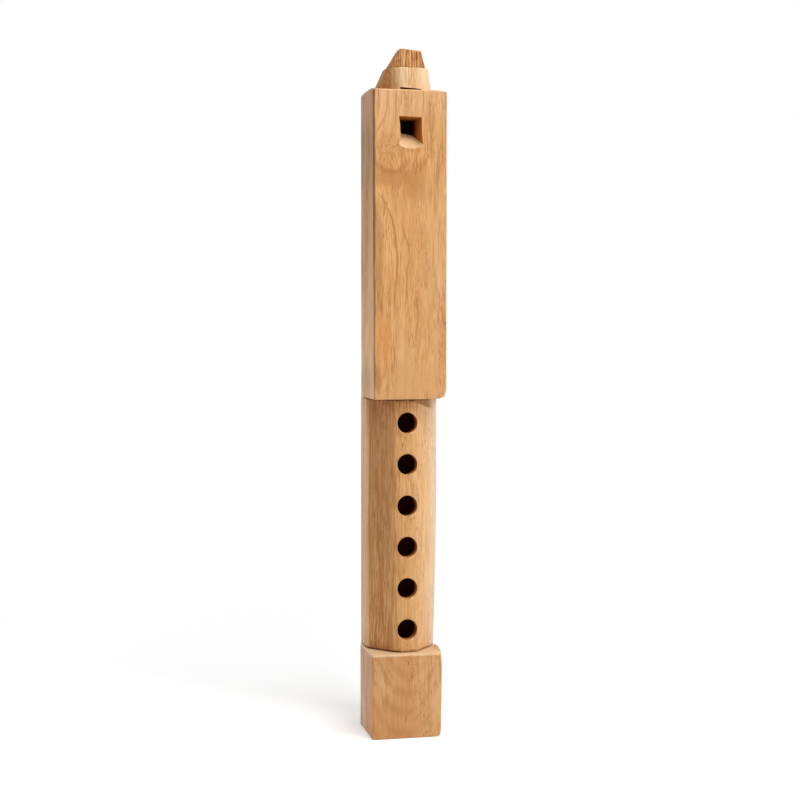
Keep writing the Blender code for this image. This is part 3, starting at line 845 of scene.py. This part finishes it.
def make_woods():
    """Build the shared groups and every wood once."""
    if WOODS:
        return
    GROUPS.update(grain=grain_group(), mottle=mottle_group(), hairlines=marks_group("wood_hairlines", hairlines),
                  blotches=marks_group("wood_blotches", blotches), weathering=left_side_light_group(),
                  charring=depth_darkening_group(), patch=patch_group())
    tones = bpy.context.scene.tarka_colours
    wall, face, rim = bpy.context.scene.tarka_sizes.bore / 2, HEAD_LOW.y, BARREL_LOW.y
    WOODS.update(
        head=wood_material(
            "honey_wood", "honey", "honey_dark", head_finish, bend=KNOT_BEND, Ring_Spacing=3.2 * MM,
            Lean_X=0.02, Lean_Y=0.02, Vein_Share=0.4, Pore_Share=0.8),
        barrel=wood_material(
            "sand_wood", "sand", "sand_dark", barrel_finish, warm=0.15, Ring_Spacing=3.8 * MM, Ring_Share=0.06,
            Pith_X=26.0 * MM, Lean_X=-0.005, Warp=0.6 * MM, Fibre_Share=1.25, Vein_Share=0.25),
        foot=wood_material(
            "clay_wood", "clay", "clay_dark", foot_finish, warm=0.3, Ring_Spacing=3.4 * MM, Ring_Share=0.24,
            Pith_X=-1.0 * MM, Pith_Y=16.0 * MM, Lean_Y=-0.35, Warp=6.0 * MM, Fibre_Share=0.45, Vein_Share=0.22,
            Pore_Share=1.25),
        collar=wood_material(
            "cream_wood", "cream", "cream_dark", collar_finish, pale=0.2, warm=0.08, Ring_Spacing=2.6 * MM,
            Pith_X=40.0 * MM, Pith_Y=-20.0 * MM, Fibre_Share=1.6, Pore_Share=0.8),
        plug=wood_material(
            "rust_wood", "rust", "rust_dark", plug_finish, warm=0.4, Ring_Spacing=0.95 * MM, Ring_Share=0.6,
            Pith_X=-30.0 * MM, Pith_Y=20.0 * MM, Warp=1.0 * MM, Fibre_Share=1.8),
        fresh=wood_material(
            "fresh_cut_wood", "cream", "sand", pale=0.3, warm=0.1, Fibre_Share=0.7, Pore_Share=0.3),
        # The bore, window and hole walls darken with depth: charred wood and painted shade
        bore=charred_and_shaded_material("charred_bore", (-wall, tones.grime), (wall, tones.burnt_and_shaded)),
        window=charred_and_shaded_material(
            "window_wall", (face, blend(tones.amber, tones.toasted_and_shaded, 0.4)), (face + 6.0 * MM, tones.toasted_and_shaded),
            (face + 12.0 * MM, tones.burnt_and_shaded)),
        # The pale rim of a hole is a painted highlight, left off on its left side
        hole=charred_and_shaded_material(
            "hole_wall", (rim + 0.5 * MM, tones.cream), (rim + 1.3 * MM, tones.amber),
            (rim + 4.5 * MM, tones.toasted_and_shaded), (rim + 9.0 * MM, tones.burnt_and_shaded), left=blend(tones.heart, tones.sand, 0.5)))


# Pieces

def block_corners(low, high):
    """Corners of a block's outline, anticlockwise from the front left."""
    return [(low.x, low.y), (high.x, low.y), (high.x, high.y), (low.x, high.y)]


def spigot_radius(sizes):
    """Radius of the collar's spigot, from the bore and its wall."""
    return sizes.bore / 2 + SPIGOT_WALL


def window_cutter(sizes):
    """The window: a hand-cut mouth on the front that narrows to the bore, over a scooped ramp."""
    outer, inner = HEAD_LOW.y, -sizes.bore / 2
    rings = []
    for y in (inner / 2, outer - CUT_MARGIN):
        share = (y - inner) / (outer - inner)
        points = [blend(throat, mouth, share) * MM for throat, mouth in zip(WINDOW_THROAT, WINDOW_MOUTH)]
        rings.append([(x, y, HEAD_HIGH.z + z) for x, z in points])
    return skin(rings)


def paint_ramp(head):
    """Give the ramp's faces, which look up and out of the window, freshly cut wood."""
    slots = [material.name for material in head.data.materials]
    wall = slots.index(WOODS["window"].name)
    head.data.materials.append(WOODS["fresh"])
    for face in head.data.polygons:
        if face.material_index == wall and face.normal.z > RAMP_SLOPE:
            face.material_index = len(slots)


def make_head(sizes):
    """Square head with its window, bore, socket and the collar's seat."""
    ease, fit, half = sizes.eased_edge, sizes.fit, HEAD_HIGH.x
    corners = block_corners(HEAD_LOW, HEAD_HIGH)
    radii = [ease, 1.8 * ease, 1.8 * ease, 3.5 * ease]
    shape = lofted(corners, corners, radii, HEAD_LOW.z, HEAD_HIGH.z, eases=(0.3 * ease, ease), edge_steps=18)
    for vertex in shape.verts:
        place = vertex.co
        low_share = fade(place.z - HEAD_LOW.z, CUT_HEIGHT)
        right_share = max(0.0, place.x / half)
        front_share = limited((CUT_START - place.y) / CUT_RUN)
        place.z += sizes.corner_lift * right_share ** 9 * low_share * front_share
        place.x -= CUT_DEPTH * right_share ** 5 * low_share ** 2 * front_share
        high_share = fade(HEAD_HIGH.z - place.z, TOP_HEIGHT)
        left_share = max(0.0, -place.x / half)
        inner_left = left_share ** 16 * (1.0 - (place.y / half) ** 4)
        place.z += (HEAD_RISE + LEFT_RISE * inner_left - RIGHT_FALL * right_share ** 8) * high_share
        height_share = (place.z - HEAD_LOW.z) / (HEAD_HIGH.z - HEAD_LOW.z)
        skew = HEAD_SKEW * (LOW_SKEW + (1.0 - LOW_SKEW) * height_share)
        place.x -= skew * left_share ** 6 * (1.0 - place.y / half) / 2
    below, above = HEAD_LOW.z - CUT_MARGIN, HEAD_HIGH.z + CUT_MARGIN
    head = carved("carved_head", hand_planed(shape, sizes.waviness, seed=1.7), "head", [
        ("DIFFERENCE", drill(sizes.bore / 2, below, above), "bore"),
        ("DIFFERENCE", drill(sizes.tenon / 2 + fit, below, BARREL_HIGH.z + fit), "fresh"),
        ("DIFFERENCE", drill(spigot_radius(sizes) + fit, COLLAR_LOW.z - fit, above), "fresh"),
        ("DIFFERENCE", window_cutter(sizes), "window")])
    paint_ramp(head)
    hand_over(head, "head", "head_block")


def barrel_corners(right):
    """The barrel's outline: square behind, slanted facets beside a narrow front flat."""
    left, front, back = BARREL_LOW.x - BARREL_LEFT, BARREL_LOW.y, BARREL_HIGH.y
    side = front + FACET_DEPTH
    return [(FLAT_LEFT, front), (FLAT_RIGHT, front), (right, side), (right, back), (left, back), (left, side)]


def hole_row_tree():
    """Geometry nodes that drill a row of eased finger holes through a barrel."""
    tree, entry, leave = new_group("finger_hole_row", {
        "Barrel": GEOMETRY, "Holes": WHOLE, "Pitch": NUMBER, "Lowest": VECTOR, "Radius": NUMBER, "Depth": NUMBER,
        "Rim": NUMBER, "Wood": MATERIAL, "Wall": MATERIAL}, {"Barrel": GEOMETRY}, "GeometryNodeTree")
    tree.is_modifier = True

    def geometry(kind, inputs, **settings):
        """The result of a geometry node."""
        return add(tree, f"GeometryNode{kind}", inputs, **settings)

    line = geometry("MeshLine", {"Count": entry["Holes"], "Start Location": entry["Lowest"],
                                 "Offset": joined(tree, z=entry["Pitch"])})
    blank = geometry("MeshCylinder", {"Vertices": DRILL_SIDES, "Side Segments": DRILL_ROWS,
                                      "Radius": entry["Radius"], "Depth": entry["Depth"]})
    x, y, z = geometry("InputPosition", {}).axes()
    opened = ((z + CUT_MARGIN) / entry["Rim"] + 1.0).most(0.0)
    grown = opened * entry["Rim"] / entry["Radius"] + 1.0
    sunk = geometry("Transform", {"Geometry": blank, "Translation": joined(tree, z=entry["Depth"] * -0.5)})
    flared = geometry("SetPosition", {"Geometry": sunk, "Position": joined(tree, x * grown, y * grown, z)})
    laid = geometry("Transform", {"Geometry": flared, "Rotation": (math.pi / 2, 0.0, 0.0)})
    browned = geometry("SetMaterial", {"Geometry": laid, "Material": entry["Wall"]})
    drills = geometry("RealizeInstances", {0: geometry("InstanceOnPoints", {"Points": line, "Instance": browned})})
    drilled = geometry("MeshBoolean", {"Mesh 1": entry["Barrel"], "Mesh 2": drills}, operation="DIFFERENCE",
                       solver="MANIFOLD")
    chosen = geometry("MaterialSelection", {0: entry["Wood"]})
    finished = geometry("SetMaterial", {"Geometry": geometry("RealizeInstances", {0: drilled}), "Selection": chosen,
                                        "Material": entry["Wood"]})
    feed(leave, {"Barrel": finished})
    return tree


def drill_holes(barrel, sizes):
    """Add the finger-hole tree to the barrel, with its sizes."""
    tree = hole_row_tree()
    modifier = barrel.modifiers.new("finger_holes", "NODES")
    modifier.node_group = tree
    lowest = FOOT_HIGH.z + SEAM_GAP + sizes.lowest_hole
    values = {"Holes": sizes.hole_count, "Pitch": sizes.hole_pitch, "Radius": sizes.hole / 2,
              "Lowest": (sizes.hole_shift, BARREL_LOW.y - CUT_MARGIN, lowest),
              "Depth": CUT_MARGIN - BARREL_LOW.y, "Rim": sizes.hole_rim,
              "Wood": WOODS["barrel"], "Wall": WOODS["hole"]}
    for item in tree.interface.items_tree:
        if item.in_out == "INPUT" and item.name in values:
            modifier[item.identifier] = values[item.name]


def upper_straight(share):
    """A taper that is straight along the upper part and draws in below."""
    return 1.0 - fade(share, DRAWN_PART) ** DRAWN_POWER


def make_barrel(sizes):
    """Faceted barrel with its tenons, bore and finger holes."""
    bottom, top = FOOT_HIGH.z - FOOT_DROP + 3 * CLOSE_GAP, HEAD_LOW.z - 3 * CLOSE_GAP
    shape = lofted(barrel_corners(FOOT_END), barrel_corners(HEAD_END), BARREL_RADII, bottom, top,
                   eases=mm(0.45, 0.25), edge_steps=8, arc_steps=7, taper=upper_straight)
    below, above = BARREL_LOW.z - CUT_MARGIN, BARREL_HIGH.z + CUT_MARGIN
    barrel = carved("carved_barrel", hand_planed(shape, sizes.waviness, seed=4.4), "barrel", [
        ("UNION", dowel(sizes.tenon / 2, BARREL_LOW.z, BARREL_HIGH.z, ease=0.6 * MM), "fresh"),
        ("DIFFERENCE", drill(sizes.bore / 2, below, above), "bore")], lambda body: drill_holes(body, sizes))
    hand_over(barrel, "barrel", "finger_hole_barrel")


def foot_rows(low, high, ease, drop):
    """Heights, insets and shoulder shares of the foot's rows, up to its flat top."""
    rows = [(*row, 0.0) for row in ease_rows(low.z, high.z - drop, ease, SOFT_EDGE, BLOCK_ROW)[:-EASE_STEPS]]
    for step in range(SHOULDER_STEPS + 1):
        angle = math.pi / 2 * step / SHOULDER_STEPS
        rows.append((high.z - drop * (1.0 - math.sin(angle)), 0.0, SHOULDER_REACH * (1.0 - math.cos(angle))))
    return rows + [(high.z, draw_in, SHOULDER_REACH) for draw_in in mm(1.5, 4.0)]


def make_foot(sizes):
    """Square foot with a rounded shoulder along its top front and right, its socket and the open bore."""
    low = FOOT_LOW + Vector((-FOOT_LEFT, 0.0, 0.0))
    high = FOOT_HIGH + Vector((FOOT_RIGHT, 0.0, -FOOT_DROP))
    ease, drop = sizes.eased_edge, sizes.shoulder
    barrel_front, barrel_side = [Vector(corner) for corner in barrel_corners(FOOT_END)[1:3]]
    run = (barrel_side - barrel_front).normalized()
    facet = Vector((run.y, -run.x))
    rings = []
    for height, draw_in, share in foot_rows(low, high, ease, drop):
        inner_low = Vector((low.x + SOFT_EDGE * share, low.y + drop * share))
        inner_high = Vector((high.x - RIGHT_REACH * drop * share, high.y - SOFT_EDGE * share))
        corners = inset(block_corners(inner_low, inner_high), draw_in)
        corners[0].x -= FOOT_SKEW
        lean_share = fade(height, high.z - drop)
        worn_share = fade(height, WORN_HEIGHT)
        crown_share = fade(high.z - height, CROWN_HEIGHT)
        radii = [ease, 2.4 * ease + CROWN_RADIUS * crown_share, 2.0 * ease, 2.0 * ease]
        ring = []
        for point in rounded_outline(corners, radii, arc_steps=5, edge_steps=16):
            right_share = max(0.0, point.x / high.x)
            pull = (FOOT_LEAN * lean_share + WORN_LEAN * worn_share ** 3) * right_share
            front_share = limited((facet.dot(point - barrel_front) - FACET_START) / FACET_RUN)
            back_share = limited((point.y - BACK_START) / BACK_RUN)
            crown = CROWN_RISE * right_share ** 12 * front_share * back_share * crown_share
            ring.append((point.x - pull, point.y, height + WORN_LIFT * worn_share * right_share ** 8 + crown))
        rings.append(ring)
    above = FOOT_HIGH.z + CUT_MARGIN
    foot = carved("carved_foot", hand_planed(skin(rings), sizes.waviness, seed=8.2), "foot", [
        ("DIFFERENCE", drill(sizes.bore / 2, FOOT_LOW.z - CUT_MARGIN, above), "bore"),
        ("DIFFERENCE", drill(sizes.tenon / 2 + sizes.fit, BARREL_LOW.z - sizes.fit, above), "fresh")])
    hand_over(foot, "foot", "foot_block")


def faceted_corners(front, flat, left, right, back, front_run, back_run, back_inset):
    """Eight corners: a front flat, two front facets, two sides and a drawn-in back."""
    return [(MOUTH_SHIFT - flat / 2, front), (MOUTH_SHIFT + flat / 2, front),
            (right, front + front_run), (right, back - back_run),
            (right - back_inset, back), (left + back_inset, back),
            (left, back - back_run), (left, front + front_run)]


def make_collar(sizes):
    """Pale faceted collar with its spigot and the kerf under its front."""
    front, half = COLLAR_LOW.y, COLLAR_FLAT / 2
    bottom, top = HEAD_HIGH.z + HEAD_RISE + CLOSE_GAP, COLLAR_HIGH.z + SEAM_RISE
    lower, upper = [faceted_corners(front, COLLAR_FLAT, *outline) for outline in (COLLAR_LOWER, COLLAR_UPPER)]
    shape = lofted(lower, upper, COLLAR_RADII, bottom, top, eases=mm(0.25, 0.5), edge_steps=5, arc_steps=4,
                   spacing=1.0 * MM)
    kerf = bar((MOUTH_SHIFT - half, front - CUT_MARGIN, bottom - CUT_MARGIN),
               (MOUTH_SHIFT + half, front + KERF_DEPTH, bottom + KERF_HEIGHT))
    for vertex in kerf.verts:
        if vertex.co.z > bottom and vertex.co.x > MOUTH_SHIFT:
            vertex.co.z -= KERF_FALL
    collar = carved("carved_collar", hand_planed(shape, sizes.waviness, seed=11.3), "collar", [
        ("UNION", dowel(spigot_radius(sizes), COLLAR_LOW.z, (bottom + top) / 2, ease=0.4 * MM), "collar"),
        ("DIFFERENCE", drill(sizes.bore / 2, COLLAR_LOW.z - CUT_MARGIN, top + CUT_MARGIN), "bore"),
        # The kerf takes the dark bore wood: painted shade in the gap under the collar's front
        ("DIFFERENCE", kerf, "bore")])
    hand_over(collar, "head", "mouthpiece_collar")


def make_plug(sizes):
    """Dark plug: whittled tip, round stem and the windway through both."""
    front, bore, half = PLUG_LOW.y, sizes.bore / 2, sizes.windway_width / 2
    bottom, top = COLLAR_HIGH.z + SEAM_RISE + CLOSE_GAP, PLUG_HIGH.z - TIP_DROP
    lower, upper = [faceted_corners(front, PLUG_FLAT, *outline) for outline in (PLUG_LOWER, PLUG_UPPER)]
    shape = lofted(lower, upper, PLUG_RADII, bottom, top, eases=mm(0.2, 0.25), edge_steps=5, arc_steps=3,
                   spacing=0.9 * MM)
    windway = bar((MOUTH_SHIFT - half, -bore, PLUG_LOW.z - CUT_MARGIN),
                  (MOUTH_SHIFT + half, sizes.windway_height - bore, PLUG_HIGH.z + CUT_MARGIN))
    chip = bar((CHIP_LEFT, front - CUT_MARGIN, CHIP_LOW), (CHIP_RIGHT, front + CHIP_RUN, CHIP_HIGH))
    for vertex in chip.verts:
        vertex.co.z += top + (vertex.co.y - front) * CHIP_RISE - vertex.co.x * CHIP_FALL
    plug = carved("carved_plug", hand_planed(shape, sizes.waviness, seed=14.9), "plug", [
        ("UNION", dowel(bore - sizes.fit, PLUG_LOW.z, bottom + 2.0 * MM, ease=0.5 * MM), "plug"),
        ("DIFFERENCE", windway, "plug"),
        ("DIFFERENCE", chip, "fresh")])
    hand_over(plug, "plug", "windway_plug")


# Stage

def aim(thing, target):
    """Turn a lamp or a camera to look at a point."""
    thing.rotation_euler = (Vector(target) - thing.location).to_track_quat("-Z", "Y").to_euler()


def around(azimuth, distance, height):
    """A point at an azimuth from the front, a distance from the Z axis and a height."""
    return Vector((distance * math.sin(azimuth), -distance * math.cos(azimuth), height))


def add_light(name, azimuth, elevation, distance, size, power, target):
    """A soft square lamp at an azimuth from the front and an elevation, aimed at a point."""
    lamp = bpy.data.lights.new(name, "AREA")
    lamp.shape = "SQUARE"
    lamp.size = size
    lamp.energy = power
    holder = bpy.data.objects.new(name, lamp)
    holder.location = Vector(target) + around(azimuth, distance * math.cos(elevation), distance * math.sin(elevation))
    bpy.context.scene.collection.objects.link(holder)
    aim(holder, target)


def background_rays(tree):
    """1 for the rays that show the background: from the camera, a gloss or a glass."""
    rays = add(tree, "ShaderNodeLightPath")
    return rays["Is Camera Ray"].most(rays["Is Glossy Ray"].most(rays["Is Transmission Ray"]))


def make_floor():
    """A wide pale floor just under the foot, which keeps the shadow near the flute and is white further out."""
    coat = Coat("pale_floor")
    tree = coat.tree
    feed(coat.shader, {"Base Color": FLOOR_GREY, "Roughness": 0.9, "Specular IOR Level": 0.0})
    reach = add(tree, "ShaderNodeVectorMath", {0: coat.place}, operation="LENGTH")["Value"]
    seen = background_rays(tree)
    lift = add(tree, "ShaderNodeEmission", {"Strength": seen * FLOOR_LIFT})
    lifted = add(tree, "ShaderNodeAddShader", {0: Output(coat.shader.outputs[0]), 1: lift})
    white = add(tree, "ShaderNodeEmission", {"Strength": 1.0})
    mixed = add(tree, "ShaderNodeMixShader", {0: reach.ramp(WHITE_FROM, WHITE_TO) * seen, 1: lifted, 2: white})
    feed(tree.nodes["Material Output"], {"Surface": mixed})
    shape = bmesh.new()
    bmesh.ops.create_grid(shape, x_segments=1, y_segments=1, size=FLOOR_SIZE)
    bmesh.ops.translate(shape, verts=shape.verts, vec=(0.0, 0.0, FOOT_LOW.z - FLOOR_GAP))
    make_object("floor", shape, coat.material)


def make_world(ambient):
    """Even grey light, with white where the camera looks past the floor."""
    world = bpy.data.worlds.new("studio")
    world.use_nodes = True
    tree = world.node_tree
    grey = tree.nodes["Background"]
    feed(grey, {"Color": WHITE, "Strength": ambient})
    white = add(tree, "ShaderNodeBackground", {"Color": WHITE, "Strength": 1.0})
    mixed = add(tree, "ShaderNodeMixShader", {0: background_rays(tree), 1: Output(grey.outputs[0]), 2: white})
    feed(tree.nodes["World Output"], {"Surface": mixed})
    bpy.context.scene.world = world


def make_camera(stage):
    """The camera at the photograph's viewing angle."""
    lens = bpy.data.cameras.new("camera")
    lens.lens = stage.lens
    lens.sensor_width = SENSOR_WIDTH
    camera = bpy.data.objects.new("camera", lens)
    camera.location = around(stage.camera_azimuth, stage.camera_distance, stage.camera_height)
    heading, level = stage.camera_azimuth + stage.camera_yaw, math.cos(stage.camera_pitch)
    bpy.context.scene.collection.objects.link(camera)
    aim(camera, camera.location - around(heading, level, math.sin(stage.camera_pitch)))
    bpy.context.scene.camera = camera


def make_stage(stage):
    """Floor, light and camera."""
    middle = (0.0, 0.0, (FOOT_LOW.z + PLUG_HIGH.z) / 2)
    make_floor()
    make_world(stage.ambient)
    for name, azimuth, elevation, distance, size in LAMPS:
        add_light(name, math.radians(azimuth), math.radians(elevation), distance, size,
                  getattr(stage, f"{name}_power"), middle)
    make_camera(stage)
    bpy.context.scene.view_settings.view_transform = "Standard"


# Operators, panel and registration

class TARKA_OT_head(bpy.types.Operator):
    """Carve the square head with its sound window"""

    bl_idname = "tarka.head"
    bl_label = "Head"

    def execute(self, context):
        """Make the head."""
        make_woods()
        make_head(context.scene.tarka_sizes)
        return {"FINISHED"}


class TARKA_OT_barrel(bpy.types.Operator):
    """Carve the barrel and drill its finger holes"""

    bl_idname = "tarka.barrel"
    bl_label = "Barrel"

    def execute(self, context):
        """Make the barrel."""
        make_woods()
        make_barrel(context.scene.tarka_sizes)
        return {"FINISHED"}


class TARKA_OT_foot(bpy.types.Operator):
    """Carve the square foot"""

    bl_idname = "tarka.foot"
    bl_label = "Foot"

    def execute(self, context):
        """Make the foot."""
        make_woods()
        make_foot(context.scene.tarka_sizes)
        return {"FINISHED"}


class TARKA_OT_mouthpiece(bpy.types.Operator):
    """Whittle the collar and the plug of the mouthpiece"""

    bl_idname = "tarka.mouthpiece"
    bl_label = "Mouthpiece"

    def execute(self, context):
        """Make the collar and the plug."""
        make_woods()
        make_collar(context.scene.tarka_sizes)
        make_plug(context.scene.tarka_sizes)
        return {"FINISHED"}


class TARKA_OT_stage(bpy.types.Operator):
    """Set up the floor, the light and the camera"""

    bl_idname = "tarka.stage"
    bl_label = "Stage"

    def execute(self, context):
        """Make the stage."""
        make_stage(context.scene.tarka_stage)
        return {"FINISHED"}


class TARKA_PT_panel(bpy.types.Panel):
    """Sidebar panel of the tarka"""

    bl_label = "Tarka"
    bl_idname = "TARKA_PT_panel"
    bl_space_type = "VIEW_3D"
    bl_region_type = "UI"
    bl_category = "Tarka"

    def draw(self, context):
        """List the operators and the settings."""
        for operator in OPERATORS:
            self.layout.operator(operator.bl_idname)
        for group in (context.scene.tarka_sizes, context.scene.tarka_colours, context.scene.tarka_stage):
            box = self.layout.box()
            for name in group.__annotations__:
                box.prop(group, name)


OPERATORS = (TARKA_OT_foot, TARKA_OT_barrel, TARKA_OT_head, TARKA_OT_mouthpiece, TARKA_OT_stage)
CLASSES = (TarkaSizes, TarkaColours, TarkaStage, *OPERATORS, TARKA_PT_panel)


def register():
    """Register the classes and their settings."""
    for item in CLASSES:
        bpy.utils.register_class(item)
    bpy.types.Scene.tarka_sizes = PointerProperty(type=TarkaSizes)
    bpy.types.Scene.tarka_colours = PointerProperty(type=TarkaColours)
    bpy.types.Scene.tarka_stage = PointerProperty(type=TarkaStage)


def unregister():
    """Remove the settings and the classes."""
    del bpy.types.Scene.tarka_sizes
    del bpy.types.Scene.tarka_colours
    del bpy.types.Scene.tarka_stage
    for item in reversed(CLASSES):
        bpy.utils.unregister_class(item)


def main():
    """Register, build every piece and the stage."""
    register()
    bpy.ops.tarka.foot()
    bpy.ops.tarka.barrel()
    bpy.ops.tarka.head()
    bpy.ops.tarka.mouthpiece()
    bpy.ops.tarka.stage()


if __name__ == "__main__":
    main()
